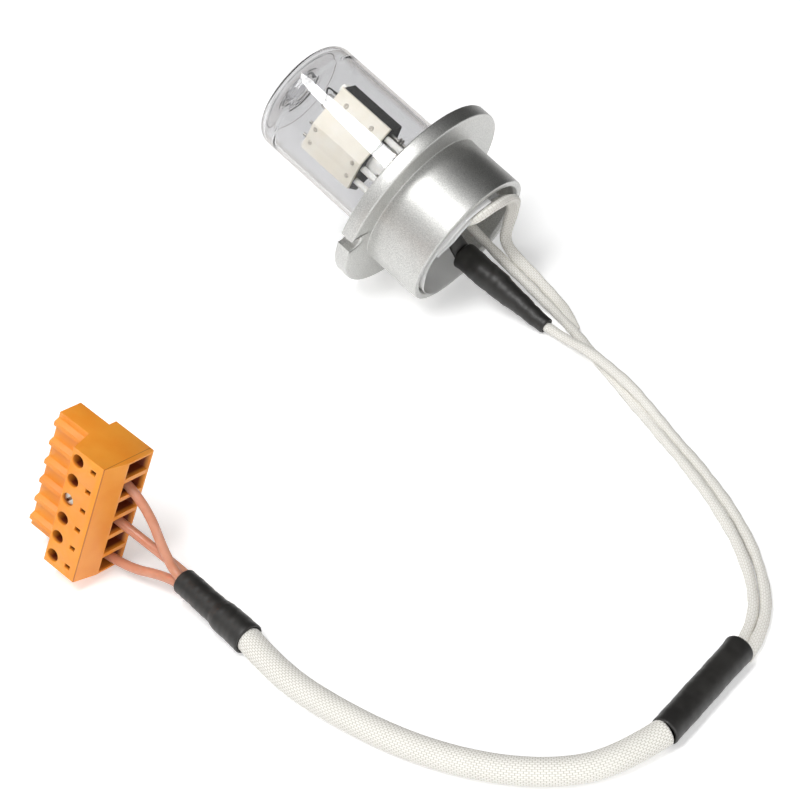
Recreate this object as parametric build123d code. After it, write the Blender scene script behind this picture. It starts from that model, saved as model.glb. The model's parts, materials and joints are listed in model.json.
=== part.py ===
from build123d import *
import math
import os

os.makedirs("parts", exist_ok=True)

# Side-on deuterium lamp lying on its flange and cup rims, with its lead laid out on the same surface.
# Millimetres, +Z up. The bulb points along -X and upwards, and the origin is below the middle of the lamp.
# The lamp is modelled about its own axis: z = 0 is the flange's front face and +z runs towards the dome.

# Aluminium base
FLANGE_D = 52.0
FLANGE_T = 3.8
RIM_CHAMFER = 0.45
CUP_D = 37.0
CUP_LENGTH = 15.8
CUP_WALL = 2.0
MOUTH_CHAMFER = 0.9
BORE_LENGTH = 6.4
NOTCH_W = 3.2
NOTCH_DEPTH = 3.6

# Glass envelope
BULB_D = 30.0
GLASS_WALL = 1.1
DOME_HEIGHT = 38.9
DOME_RISE = 0.9
DOME_EDGE_R = 3.2
BULB_TAIL = 9.0
TIP_D = 9.0
TIP_BUMP = 1.3
CEMENT_GAP = 0.5
CEMENT_RING_T = 2.2
CEMENT_SETBACK = 0.4

# Glass stem and its ceramic post
STEM_T = 2.6
STEM_BOSS_D = 20.0
STEM_BOSS_T = 1.6
SEAL_GAP = 0.02
POST_D = 9.0
POST_WALL = 1.0
POST_WINDOW = 2.0
POST_WINDOW_Z = 6.6
POST_WINDOWS = 4

# Electrode housing, set out along the emission direction (depth) and across it
EMISSION_ANGLE = 211.9
HOUSING_BOTTOM = 11.2
HOUSING_HEIGHT = 16.0
BACK_HALF_W = 9.05
SIDE_HALF_W = 9.95
NOSE_HALF_W = 4.0
RIDGE_OFFSET = 1.5
RIDGE_RISE = 2.62
BACK_DEPTH = 5.05
SIDE_DEPTH = 0.96
NOSE_DEPTH = 4.6
COVER_T = 1.0
SHIELD_WALL = 0.6
ROD_CLEARANCE = 0.1
FIT_GAP = 0.05

# Rivet holes of the ceramic cover: place across the housing, height over the flange face
RIVET_HOLE_D = 1.3
RIVETS = [(-6.4, 23.5), (-6.4, 15.0), (2.65, 25.9), (6.45, 25.6), (2.65, 13.2), (6.45, 13.0)]

# Light exit
LIGHT_CENTRE_Z = 19.2
EXIT_PLATE_T = 1.0
EXIT_PLATE_H = 13.0
EXIT_WINDOW_W = 3.2
EXIT_WINDOW_H = 6.4
APERTURE_DEPTH = 2.6
APERTURE_T = 0.5
APERTURE_D = 1.0
APERTURE_BOSS_D = 3.0
BAFFLE_X = -3.4
BAFFLE_T = 0.4

# Rods through the stem
ROD_D = 0.8
ROD_TAIL = 3.4
ROD_TOP_STAND = 1.8
COVER_RODS = {"rod_side": (-3.5, -6.4), "rod_middle": (-5.0, 2.65), "rod_far": (-3.9, 6.45)}
ANODE_DEPTH = -1.2
ANODE_W = 6.0
ANODE_H = 8.0
ANODE_T = 0.4
CATHODE_POS = (0.8, -6.1)
CATHODE_RETURN = (-1.5, -7.3)
CATHODE_D = 1.8
CATHODE_L = 6.0
CATHODE_TURNS = 6
CATHODE_ARCH_R = 0.9
CATHODE_TOP_GAP = 1.8

# Ceramic beads and spring wire on top of the housing
BEAD_L = 5.0
BEAD_W = 2.4
BEAD_T = 1.2
BEAD_ROUND = 0.5
BEAD_DEPTH = -1.4
BEAD_ACROSS = 8.3
SPRING_D = 0.5
SPRING_POINTS = [(-5.6, -2.4, 0.0), (-5.6, -2.4, 1.6), (-2.2, -5.0, 3.2), (-2.2, -5.0, 0.0)]
SPRING_BEND_R = 0.7

# Parts in the cup
LINER_GAP = 0.15
LINER_T = 0.25
LINER_L = 9.0
LINER_STAND = 1.4
LINER_ARC = 210.0
LINER_START = -120.0
JOINT_D = 4.8
JOINT_TOP_D = 3.6
JOINT_TOP = (1.5, 0.6)
JOINT_GAP = 0.2

# Leads of the lamp
SLEEVE_D = 2.4
SLEEVE_LEAD = 0.3
TAPER_START_D = 7.0
TAPER_MID_D = 6.5
TAPER_MID_AT = 0.45
TAPER_END_D = 3.9
COLLAR_START_D = 6.2
COLLAR_END_D = 6.0
COLLAR_L = 27.0
BRAID_D = 5.5
BOOT_START_D = 6.9
BOOT_WIDE_D = 6.7
BOOT_WIDE_AT = 0.38
BOOT_NARROW_D = 5.9
BOOT_NARROW_AT = 0.55
BOOT_END_D = 5.7
BOOT_L = 21.0
LEAD_D = 2.1
LEAD_SPREAD = 1.4
FLOOR_GAP = 0.05

# Six-pole screw plug
POLES = 6
PITCH = 5.08
PLUG_DEPTH = 19.45
PLUG_HEIGHT = 13.9
NOSE_LENGTH = 8.3
NOSE_LOW = 2.1
NOSE_HIGH = 8.2
SHOULDER_DEPTH = 9.7
WIRE_EDGE_H = 8.0
WIRE_EDGE_SETBACK = 1.1
PLUG_ROUND = 0.5
RIB_W = 2.2
RIB_HEIGHT = 1.1
RIB_TIP_W = 1.0
SOCKET_W = 2.8
SOCKET_H = 3.2
SOCKET_L = 7.0
FUNNEL_W = 3.9
FUNNEL_H = 6.6
FUNNEL_LOW = 0.8
FUNNEL_L = 5.5
FUNNEL_THROAT = 2.7
THROAT_L = 3.0
SCREW_HOLE_D = 3.0
SCREW_HOLE_L = 6.5
SCREW_A = 11.6
SCREW_D = 2.7
SCREW_H = 2.4
SCREW_SINK = 2.6
SCREW_SLOT_W = 0.6
SCREW_SLOT_T = 0.9
TEST_HOLE_W = 1.1
TEST_HOLE_L = 1.4
TEST_HOLE_T = 3.5
TEST_A = 15.9
CLAMP_WALL = 0.5
PLUG_LEAN = 20.8
PLUG_LEAN_AZIMUTH = -132.4
PLUG_HEADING = 4.6
PLUG_PLACE = (14.2, -111.0)

# Route of the lead on the surface, from the taper's end to the collar, and from the collar to the boot
TAPER_EXIT = (-0.9, -6.0)
TAPER_END = (49.1, -1.2)
SLEEVE_A_ROUTE = [
    (49.1, -1.2), (56.2, -2.7), (64.2, -4.9), (73.2, -7.9), (83.2, -11.6),
    (94.7, -16.4), (111.1, -24.4), (127.3, -34.8), (138.7, -45.6), (145.3, -56.0),
    (146.9, -65.4),
]
SLEEVE_B_EXIT = (-8.7, -4.3)
SLEEVE_B_ROUTE = [
    (43.7, 8.0), (55.7, 1.9), (69.1, -5.6), (89.3, -16.6), (109.1, -27.0),
    (125.1, -37.4), (136.5, -48.0), (142.5, -57.4), (143.9, -65.4),
]
CROSSING_LIFT = [0.0, 0.8, 2.3, 2.75, 2.45, 0.2]
COLLAR_START = (145.4, -65.6)
COLLAR_TURN = -88.0
BRAID_ROUTE = [
    (143.6, -103.6), (136.1, -113.0), (123.9, -120.2), (108.3, -124.6), (90.3, -125.8),
    (76.3, -124.6),
]
BOOT_START = (66.7, -122.0)
BOOT_TURN = 172.5
BOOT_RISE = 6.5


def save(solid, name):
    solid.label = name
    export_step(solid, f"parts/{name}.step")


def cylinder_at(radius, z_low, z_high, x=0.0, y=0.0):
    return Pos(x, y, z_low) * Cylinder(radius, z_high - z_low, align=(Align.CENTER, Align.CENTER, Align.MIN))


def prism(points, z_low, z_high):
    outline = make_face(Polyline(*points, close=True))
    return Pos(0, 0, z_low) * extrude(outline, z_high - z_low, dir=(0, 0, 1))


def turned(points):
    outline = make_face(Polyline(*[(r, 0, z) for r, z in points], close=True))
    return revolve(outline, Axis.Z)


# Aluminium base: flange and cup turned from one piece, hollow from behind, bored for the bulb, one key notch
flange_r = FLANGE_D / 2
cup_r = CUP_D / 2
cup_inner_r = cup_r - CUP_WALL
bulb_r = BULB_D / 2
bore_r = bulb_r + CEMENT_GAP
base_rear = -(FLANGE_T + CUP_LENGTH)
base = turned(
    [
        (bore_r, 0),
        (flange_r - RIM_CHAMFER, 0),
        (flange_r, -RIM_CHAMFER),
        (flange_r, -FLANGE_T + RIM_CHAMFER),
        (flange_r - RIM_CHAMFER, -FLANGE_T),
        (cup_r, -FLANGE_T),
        (cup_r, base_rear + RIM_CHAMFER),
        (cup_r - RIM_CHAMFER, base_rear),
        (cup_inner_r + MOUTH_CHAMFER / 2, base_rear),
        (cup_inner_r, base_rear + MOUTH_CHAMFER),
        (cup_inner_r, -BORE_LENGTH),
        (bore_r, -BORE_LENGTH),
    ]
)
notch_round_x = flange_r - NOTCH_DEPTH + NOTCH_W / 2
notch = Pos(notch_round_x + FLANGE_T, 0, -FLANGE_T / 2) * Box(2 * FLANGE_T, NOTCH_W, 2 * FLANGE_T)
notch += Pos(notch_round_x, 0, -FLANGE_T / 2) * Cylinder(NOTCH_W / 2, 2 * FLANGE_T)
base -= notch


# Glass envelope: a straight tube with a nearly flat dome and the melted tip on the inside of its middle
def bulb_form(radius, height, edge_r, bottom):
    side = height - DOME_RISE
    crown_r = (radius**2 + DOME_RISE**2) / (2 * DOME_RISE)
    half_way = height - crown_r + math.sqrt(crown_r**2 - radius**2 / 4)
    outline = make_face(
        [
            Line((0, 0, bottom), (radius, 0, bottom)),
            Line((radius, 0, bottom), (radius, 0, side)),
            ThreePointArc((radius, 0, side), (radius / 2, 0, half_way), (0, 0, height)),
            Line((0, 0, height), (0, 0, bottom)),
        ]
    )
    shoulder = outline.vertices().group_by(Axis.X)[-1].sort_by(Axis.Z)[-1]
    return revolve(fillet(shoulder, edge_r), Axis.Z)


glass_inner_r = bulb_r - GLASS_WALL
hollow = bulb_form(glass_inner_r, DOME_HEIGHT - GLASS_WALL, DOME_EDGE_R - GLASS_WALL, -BULB_TAIL)
tip_r = TIP_D / 2
tip_ball_r = (tip_r**2 + TIP_BUMP**2) / (2 * TIP_BUMP)
tip_centre = DOME_HEIGHT - GLASS_WALL - TIP_BUMP + tip_ball_r
hollow -= Pos(0, 0, tip_centre) * Sphere(tip_ball_r)
envelope = bulb_form(bulb_r, DOME_HEIGHT, DOME_EDGE_R, -BULB_TAIL) - hollow

# Cement: the sleeve between bulb and bore, spread over the floor of the cup behind it
cement = turned(
    [
        (bulb_r, -CEMENT_SETBACK),
        (bore_r, -CEMENT_SETBACK),
        (bore_r, -BORE_LENGTH),
        (cup_inner_r, -BORE_LENGTH),
        (cup_inner_r, -BORE_LENGTH - CEMENT_RING_T / 2),
        (bulb_r + CEMENT_GAP, -BORE_LENGTH - CEMENT_RING_T),
        (bulb_r, -BORE_LENGTH - CEMENT_RING_T),
    ]
)

# Emission direction and the frame of the electrode housing: depth towards the light exit, then across
housing_frame = Plane(
    origin=(0, 0, 0),
    x_dir=(math.cos(math.radians(EMISSION_ANGLE)), math.sin(math.radians(EMISSION_ANGLE)), 0),
    z_dir=(0, 0, 1),
)
housing = housing_frame.location
housing_top = HOUSING_BOTTOM + HOUSING_HEIGHT
rod_r = ROD_D / 2
rod_bottom = -BULB_TAIL - ROD_TAIL


def half_width_at(depth):
    share = (depth - SIDE_DEPTH) / (NOSE_DEPTH - SIDE_DEPTH)
    return SIDE_HALF_W + (NOSE_HALF_W - SIDE_HALF_W) * share


def ring_of(back, half_in, side_half, side, nose, nose_half, ridge):
    return [
        (back, -half_in),
        (side, -side_half),
        (nose, -nose_half),
        (nose, nose_half),
        (side, side_half),
        (back, half_in),
        (ridge, RIDGE_OFFSET),
    ]


# Rods: three hold the ceramic cover, one holds the anode, two hold the cathode
rod_places = dict(COVER_RODS)
rod_places["rod_anode"] = (ANODE_DEPTH - ANODE_T / 2 - rod_r, 0.0)
rod_places["rod_cathode"] = CATHODE_POS
rod_places["rod_return"] = CATHODE_RETURN
cathode_low = LIGHT_CENTRE_Z - CATHODE_L / 2
cathode_high = LIGHT_CENTRE_Z + CATHODE_L / 2
rod_tops = {name: housing_top + ROD_TOP_STAND for name in COVER_RODS}
rod_tops["rod_anode"] = LIGHT_CENTRE_Z + ANODE_H / 2
rod_tops["rod_cathode"] = cathode_low
rods = {
    name: cylinder_at(rod_r, rod_bottom, rod_tops[name], *rod_places[name])
    for name in rod_places
    if name != "rod_return"
}
arch_top = cathode_high + CATHODE_TOP_GAP
return_path = FilletPolyline(
    (*CATHODE_RETURN, rod_bottom),
    (*CATHODE_RETURN, arch_top),
    (*CATHODE_POS, arch_top),
    (*CATHODE_POS, cathode_high),
    radius=CATHODE_ARCH_R,
)
rods["rod_return"] = sweep(Plane(origin=return_path @ 0, z_dir=return_path % 0) * Circle(rod_r), path=return_path)

# Glass stem: a disc that closes the tube, with a raised boss, pierced by the rods
stem_low = -BULB_TAIL
stem = cylinder_at(glass_inner_r - SEAL_GAP, stem_low, stem_low + STEM_T)
stem += cylinder_at(STEM_BOSS_D / 2, stem_low + STEM_T, stem_low + STEM_T + STEM_BOSS_T)
for x, y in rod_places.values():
    stem -= housing * cylinder_at(rod_r + SEAL_GAP, stem_low - 1, 0, x, y)

# Ceramic post between stem and housing, with square windows
post_low = stem_low + STEM_T + STEM_BOSS_T
post = cylinder_at(POST_D / 2, post_low, HOUSING_BOTTOM) - cylinder_at(POST_D / 2 - POST_WALL, post_low, HOUSING_BOTTOM)
for turn in range(POST_WINDOWS):
    window = Pos(POST_D / 2, 0, POST_WINDOW_Z) * Box(POST_D / 2, POST_WINDOW, POST_WINDOW)
    post -= Rot(0, 0, turn * 360 / POST_WINDOWS) * window

# Metal shield: a closed faceted box with a window in its nose
ridge_depth = -BACK_DEPTH - RIDGE_RISE
shield_outline = ring_of(
    -BACK_DEPTH + COVER_T, BACK_HALF_W, SIDE_HALF_W, SIDE_DEPTH, NOSE_DEPTH, NOSE_HALF_W, ridge_depth + COVER_T
)
shield_face = make_face(Polyline(*shield_outline, close=True))
shield_hollow = offset(shield_face, -SHIELD_WALL, kind=Kind.INTERSECTION)
shield = Pos(0, 0, HOUSING_BOTTOM) * extrude(shield_face, HOUSING_HEIGHT, dir=(0, 0, 1))
shield -= Pos(0, 0, HOUSING_BOTTOM + SHIELD_WALL) * extrude(
    shield_hollow, HOUSING_HEIGHT - 2 * SHIELD_WALL, dir=(0, 0, 1)
)
exit_hole = Pos(NOSE_DEPTH, 0, LIGHT_CENTRE_Z) * Box(4 * SHIELD_WALL, EXIT_WINDOW_W, EXIT_WINDOW_H)
shield -= exit_hole
for x, y in rod_places.values():
    shield -= cylinder_at(rod_r + ROD_CLEARANCE, HOUSING_BOTTOM - 1, HOUSING_BOTTOM + 1, x, y)
for x, y in COVER_RODS.values():
    shield -= cylinder_at(rod_r + ROD_CLEARANCE, housing_top - 1, housing_top + 1, x, y)

# Ceramic back cover: a shallow roof over the shield's back, with countersunk-looking round rivet holes
cover = prism(
    [
        (-BACK_DEPTH, -BACK_HALF_W),
        (-BACK_DEPTH + COVER_T, -BACK_HALF_W),
        (ridge_depth + COVER_T, RIDGE_OFFSET),
        (-BACK_DEPTH + COVER_T, BACK_HALF_W),
        (-BACK_DEPTH, BACK_HALF_W),
        (ridge_depth, RIDGE_OFFSET),
    ],
    HOUSING_BOTTOM,
    housing_top,
)
for across, height in RIVETS:
    side = -1 if across < RIDGE_OFFSET else 1
    slope = math.degrees(math.atan2(RIDGE_RISE, BACK_HALF_W - side * RIDGE_OFFSET))
    roof_depth = ridge_depth + RIDGE_RISE * abs(across - RIDGE_OFFSET) / (BACK_HALF_W - side * RIDGE_OFFSET)
    hole = Rot(0, 90, 0) * Cylinder(RIVET_HOLE_D / 2, 4 * COVER_T)
    cover -= Pos(roof_depth, across, height) * Rot(0, 0, -side * slope) * hole

# Light exit plate on the nose, and the aperture plate behind it
exit_plate = Pos(NOSE_DEPTH + EXIT_PLATE_T / 2, 0, LIGHT_CENTRE_Z) * Box(
    EXIT_PLATE_T, 2 * NOSE_HALF_W, EXIT_PLATE_H
)
exit_plate -= exit_hole
cheek_run = math.hypot(NOSE_DEPTH - SIDE_DEPTH, SIDE_HALF_W - NOSE_HALF_W)
cheek_wall = SHIELD_WALL * cheek_run / (NOSE_DEPTH - SIDE_DEPTH)
aperture_half = half_width_at(APERTURE_DEPTH + APERTURE_T) - cheek_wall - FIT_GAP
aperture = Pos(APERTURE_DEPTH + APERTURE_T / 2, 0, HOUSING_BOTTOM + HOUSING_HEIGHT / 2) * Box(
    APERTURE_T, 2 * aperture_half, HOUSING_HEIGHT - 2 * SHIELD_WALL - 2 * FIT_GAP
)
boss = Pos(APERTURE_DEPTH - APERTURE_T / 2, 0, LIGHT_CENTRE_Z) * Rot(0, 90, 0) * Cylinder(
    APERTURE_BOSS_D / 2, APERTURE_T
)
aperture += boss
aperture -= Pos(APERTURE_DEPTH, 0, LIGHT_CENTRE_Z) * Rot(0, 90, 0) * Cylinder(APERTURE_D / 2, 6 * APERTURE_T)

# Anode plate on its rod, cathode coil between its two rods, and the baffle beside the cathode
anode = Pos(ANODE_DEPTH, 0, LIGHT_CENTRE_Z) * Box(ANODE_T, ANODE_W, ANODE_H)
coil_r = CATHODE_D / 2
coil_step = CATHODE_L / CATHODE_TURNS
coil_profile = [(0, cathode_low)]
for turn in range(CATHODE_TURNS):
    low = cathode_low + turn * coil_step
    coil_profile.append((0.7 * coil_r, low))
    coil_profile.append((coil_r, low + coil_step / 2))
coil_profile.append((0.7 * coil_r, cathode_high))
coil_profile.append((0, cathode_high))
cathode = Pos(*CATHODE_POS, 0) * turned(coil_profile)
baffle_front = APERTURE_DEPTH - APERTURE_T - FIT_GAP
baffle_back = ANODE_DEPTH
baffle = Pos((baffle_front + baffle_back) / 2, BAFFLE_X, HOUSING_BOTTOM + HOUSING_HEIGHT / 2) * Box(
    baffle_front - baffle_back, BAFFLE_T, HOUSING_HEIGHT - 2 * SHIELD_WALL - 2 * FIT_GAP
)

# Beads and spring wire on the housing's top
bead = Box(BEAD_L, BEAD_W, BEAD_T)
bead = fillet(bead.edges().filter_by(Axis.Z), BEAD_W / 2 - FIT_GAP)
bead = fillet(bead.edges().group_by(Axis.Z)[-1], BEAD_ROUND)
bead_z = housing_top + BEAD_T / 2
bead_near = Pos(BEAD_DEPTH, -BEAD_ACROSS, bead_z) * bead
bead_far = Pos(BEAD_DEPTH, BEAD_ACROSS, bead_z) * bead
spring_path = FilletPolyline(
    *[(x, y, housing_top + z) for x, y, z in SPRING_POINTS],
    radius=SPRING_BEND_R,
)
spring = sweep(Plane(origin=spring_path @ 0, z_dir=spring_path % 0) * Circle(SPRING_D / 2), path=spring_path)

# Clear film rolled into the cup
liner_r = cup_inner_r - LINER_GAP
liner_low = base_rear - LINER_STAND
liner_face = make_face(
    Polyline(
        (liner_r - LINER_T, 0, liner_low),
        (liner_r, 0, liner_low),
        (liner_r, 0, liner_low + LINER_L),
        (liner_r - LINER_T, 0, liner_low + LINER_L),
        close=True,
    )
)
liner = Rot(0, 0, LINER_START) * revolve(liner_face, Axis.Z, LINER_ARC)

# Place the lamp: it rests on the rims of flange and cup
lean = math.degrees(math.atan2(flange_r - cup_r, CUP_LENGTH))
lean_rad = math.radians(lean)
bulb_dir = (-math.cos(lean_rad), 0, math.sin(lean_rad))
lamp_plane = Plane(origin=(0, 0, 0), x_dir=(0, -1, 0), z_dir=bulb_dir)
standing = lamp_plane.location * base
lying_glass = lamp_plane.location * envelope
extent = standing.bounding_box().add(lying_glass.bounding_box())
lamp = Pos(-extent.center().X, 0, -extent.min.Z) * lamp_plane.location


def lamp_point(x, y, z):
    point = lamp * Pos(x, y, z)
    return point.position


save(lamp * base, "base")
save(lamp * envelope, "glass_envelope")
save(lamp * cement, "bulb_cement")
save(lamp * stem, "glass_stem")
save(lamp * post, "ceramic_post")
in_housing = {
    "shield": shield,
    "back_cover": cover,
    "exit_plate": exit_plate,
    "aperture_plate": aperture,
    "anode": anode,
    "cathode": cathode,
    "baffle": baffle,
    "bead_near": bead_near,
    "bead_far": bead_far,
    "spring_wire": spring,
}
in_housing.update(rods)
for name, solid in in_housing.items():
    save(lamp * housing * solid, name)
save(lamp * liner, "film_liner")


# Lead: tubes along straight runs joined by tangent arcs
def route_radii(points):
    radii = []
    for before, corner, after in zip(points, points[1:], points[2:]):
        run_in = corner - before
        run_out = after - corner
        turn = math.radians(run_in.get_angle(run_out))
        radii.append(0.45 * min(run_in.length, run_out.length) / math.tan(turn / 2))
    return radii


def tube(name, points, diameter):
    corners = [Vector(point) for point in points]
    radii = route_radii(corners)
    path = FilletPolyline(*corners, radius=radii)
    section = Plane(origin=path @ 0, z_dir=path % 0) * Circle(diameter / 2)
    solid = sweep(section, path=path)
    share = solid.volume / (math.pi * diameter**2 / 4 * path.length)
    print(name, "length", round(path.length, 1), "radii", [round(r) for r in radii], "fill", round(share, 4))
    save(solid, name)
    return path


def on_floor(points, diameter, lifts=()):
    height = diameter / 2 + FLOOR_GAP
    raised = list(lifts) + [0.0] * (len(points) - len(lifts))
    return [(x, y, height + lift) for (x, y), lift in zip(points, raised)]


def tapered(name, start, end, start_d, end_d, start_dir, end_dir):
    start_face = Plane(origin=start, z_dir=start_dir) * Circle(start_d / 2)
    end_face = Plane(origin=end, z_dir=end_dir) * Circle(end_d / 2)
    save(loft([start_face, end_face]), name)
    print(name, "length", round((Vector(end) - Vector(start)).length, 1))


# Black joint sleeve in the cup, and the taper over sleeve A from the cup down to the surface
taper_end = (*TAPER_END, SLEEVE_D / 2 + FLOOR_GAP + (TAPER_END_D - SLEEVE_D) / 2)
taper_mouth = lamp_point(*TAPER_EXIT, base_rear)
taper_dir = (taper_mouth - Vector(*taper_end)).normalized()
joint_top = lamp_point(*JOINT_TOP, rod_bottom - JOINT_GAP)
lamp_axis = joint_top - lamp_point(*JOINT_TOP, base_rear)
joint_sections = [
    Plane(origin=taper_mouth, z_dir=taper_dir) * Circle(JOINT_D / 2),
    Plane(origin=joint_top, z_dir=lamp_axis) * Circle(JOINT_TOP_D / 2),
]
save(loft(joint_sections), "joint_sleeve")

# Thin sleeves: A passes over B where they cross
sleeve_a = on_floor(SLEEVE_A_ROUTE, SLEEVE_D, CROSSING_LIFT)
sleeve_a[0] = taper_end
tube("sleeve_a", sleeve_a, SLEEVE_D)
sleeve_a_dir = Vector(sleeve_a[1]) - Vector(sleeve_a[0])
taper_axis = Vector(*taper_end) - taper_mouth
taper_sections = [
    Plane(origin=taper_mouth, z_dir=-taper_dir) * Circle(TAPER_START_D / 2),
    Plane(origin=taper_mouth + taper_axis * TAPER_MID_AT, z_dir=-taper_dir) * Circle(TAPER_MID_D / 2),
    Plane(origin=taper_end, z_dir=sleeve_a_dir) * Circle(TAPER_END_D / 2),
]
save(loft(taper_sections), "taper_sleeve")
b_mouth = lamp_point(*SLEEVE_B_EXIT, base_rear)
b_inside = lamp_point(*SLEEVE_B_EXIT, stem_low)
sleeve_b = [b_inside, b_mouth + (b_mouth - b_inside) * SLEEVE_LEAD]
sleeve_b += on_floor(SLEEVE_B_ROUTE, SLEEVE_D)
tube("sleeve_b", sleeve_b, SLEEVE_D)


# Collar where the thin sleeves enter the thick braid, and the boot at its other end
def heading(angle, rise=0.0):
    a = math.radians(angle)
    e = math.radians(rise)
    return Vector(math.cos(a) * math.cos(e), math.sin(a) * math.cos(e), math.sin(e))


collar_start = Vector(*COLLAR_START, COLLAR_START_D / 2 + FLOOR_GAP)
collar_end = collar_start + heading(COLLAR_TURN) * COLLAR_L
boot_start = Vector(*BOOT_START, BOOT_START_D / 2 + FLOOR_GAP)
boot_dir = heading(BOOT_TURN, BOOT_RISE)
boot_end = boot_start + boot_dir * BOOT_L
braid = [collar_end, *on_floor(BRAID_ROUTE, BRAID_D), boot_start]
tube("braided_sleeve", braid, BRAID_D)
braid_start_dir = Vector(braid[1]) - Vector(braid[0])
braid_end_dir = Vector(braid[-1]) - Vector(braid[-2])
tapered("collar", collar_start, collar_end, COLLAR_START_D, COLLAR_END_D, heading(COLLAR_TURN), braid_start_dir)
boot_axis = boot_end - boot_start
boot_sections = [
    Plane(origin=boot_start, z_dir=braid_end_dir) * Circle(BOOT_START_D / 2),
    Plane(origin=boot_start + boot_axis * BOOT_WIDE_AT, z_dir=boot_dir) * Circle(BOOT_WIDE_D / 2),
    Plane(origin=boot_start + boot_axis * BOOT_NARROW_AT, z_dir=boot_dir) * Circle(BOOT_NARROW_D / 2),
    Plane(origin=boot_end, z_dir=boot_dir) * Circle(BOOT_END_D / 2),
]
save(loft(boot_sections, ruled=True), "boot")

# Screw plug: x from the mating nose to the wire side, y from the underside to the screw face, z along the row
plug_length = POLES * PITCH
plug_profile = [
    (0.0, NOSE_LOW),
    (NOSE_LENGTH, NOSE_LOW),
    (NOSE_LENGTH, 0.0),
    (PLUG_DEPTH, 0.0),
    (PLUG_DEPTH, WIRE_EDGE_H),
    (PLUG_DEPTH - WIRE_EDGE_SETBACK, PLUG_HEIGHT),
    (SHOULDER_DEPTH, PLUG_HEIGHT),
    (NOSE_LENGTH, NOSE_HIGH),
    (0.0, NOSE_HIGH),
]
plug = prism(plug_profile, 0, plug_length)
plug = fillet(plug.edges().filter_by(Axis.Z).group_by(Axis.X)[-1], PLUG_ROUND)
pole_z = [PITCH * (i + 0.5) for i in range(POLES)]
funnel_mid = FUNNEL_LOW + FUNNEL_H / 2
nose_mid = (NOSE_LOW + NOSE_HIGH) / 2
clamp_depth = PLUG_DEPTH - FUNNEL_L - THROAT_L
screw_low = PLUG_HEIGHT - SCREW_HOLE_L
for z in pole_z:
    mouth = Plane(origin=(PLUG_DEPTH, funnel_mid, z), x_dir=(0, 1, 0), z_dir=(1, 0, 0))
    throat = mouth.offset(-FUNNEL_L)
    funnel = loft([mouth * Rectangle(FUNNEL_H, FUNNEL_W), throat * Rectangle(FUNNEL_THROAT, FUNNEL_THROAT)])
    plug -= funnel
    plug -= Pos(PLUG_DEPTH - FUNNEL_L - THROAT_L / 2, funnel_mid, z) * Box(
        THROAT_L, FUNNEL_THROAT, FUNNEL_THROAT
    )
    plug -= Pos(SOCKET_L / 2, nose_mid, z) * Box(SOCKET_L, SOCKET_H, SOCKET_W)
    plug -= Pos(SCREW_A, PLUG_HEIGHT - SCREW_HOLE_L / 2, z) * Rot(90, 0, 0) * Cylinder(
        SCREW_HOLE_D / 2, SCREW_HOLE_L
    )
    plug -= Pos(TEST_A, PLUG_HEIGHT - TEST_HOLE_T / 2, z) * Box(TEST_HOLE_L, TEST_HOLE_T, TEST_HOLE_W)
    rib = make_face(
        Polyline(
            (0.0, NOSE_HIGH, z - RIB_W / 2),
            (0.0, NOSE_HIGH + RIB_HEIGHT, z - RIB_TIP_W / 2),
            (0.0, NOSE_HIGH + RIB_HEIGHT, z + RIB_TIP_W / 2),
            (0.0, NOSE_HIGH, z + RIB_W / 2),
            close=True,
        )
    )
    plug += extrude(rib, NOSE_LENGTH, dir=(1, 0, 0))

# Clamp screws sunk in their holes
screw_top = PLUG_HEIGHT - SCREW_SINK
screw = Pos(SCREW_A, screw_top - SCREW_H / 2, 0) * Rot(90, 0, 0) * Cylinder(SCREW_D / 2, SCREW_H)
screw -= Pos(SCREW_A, screw_top, 0) * Box(SCREW_D + 1, 2 * SCREW_SLOT_T, SCREW_SLOT_W)

# Stand the plug on the low corner of its end, leaning
lean_dir = heading(PLUG_LEAN_AZIMUTH, PLUG_LEAN - 90)
wire_dir = heading(PLUG_HEADING)
wire_dir = (wire_dir - lean_dir * wire_dir.dot(lean_dir)).normalized()
plug_plane = Plane(origin=(0, 0, 0), x_dir=wire_dir, z_dir=lean_dir)
plug_drop = -(plug_plane.location * plug).bounding_box().min.Z
plug_at = Pos(*PLUG_PLACE, plug_drop) * plug_plane.location
save(plug_at * plug, "plug_housing")
for number, z in enumerate(pole_z, 1):
    save(plug_at * Pos(0, 0, z) * screw, f"clamp_screw_{number}")

# Three leads from the boot into every second pole
boot_side = boot_dir.cross(Vector(0, 0, 1)).normalized()
boot_up = boot_side.cross(boot_dir)
spread = [(-0.5, 0.87), (1.0, 0.0), (-0.5, -0.87)]
for number, (side, up) in enumerate(spread, 1):
    pole = pole_z[2 * number - 1]
    start = boot_end + (boot_side * side + boot_up * up) * LEAD_SPREAD
    mouth = (plug_at * Pos(PLUG_DEPTH, funnel_mid, pole)).position
    inside = (plug_at * Pos(PLUG_DEPTH - FUNNEL_L - THROAT_L, funnel_mid, pole)).position
    outward = (mouth - inside).normalized()
    tube(f"lead_{number}", [start, start + boot_dir * 3.5, mouth + outward * 2.5, inside], LEAD_D)
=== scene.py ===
import json
import math
import bpy
import bmesh
import numpy as np
from mathutils import Matrix, Vector


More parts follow.
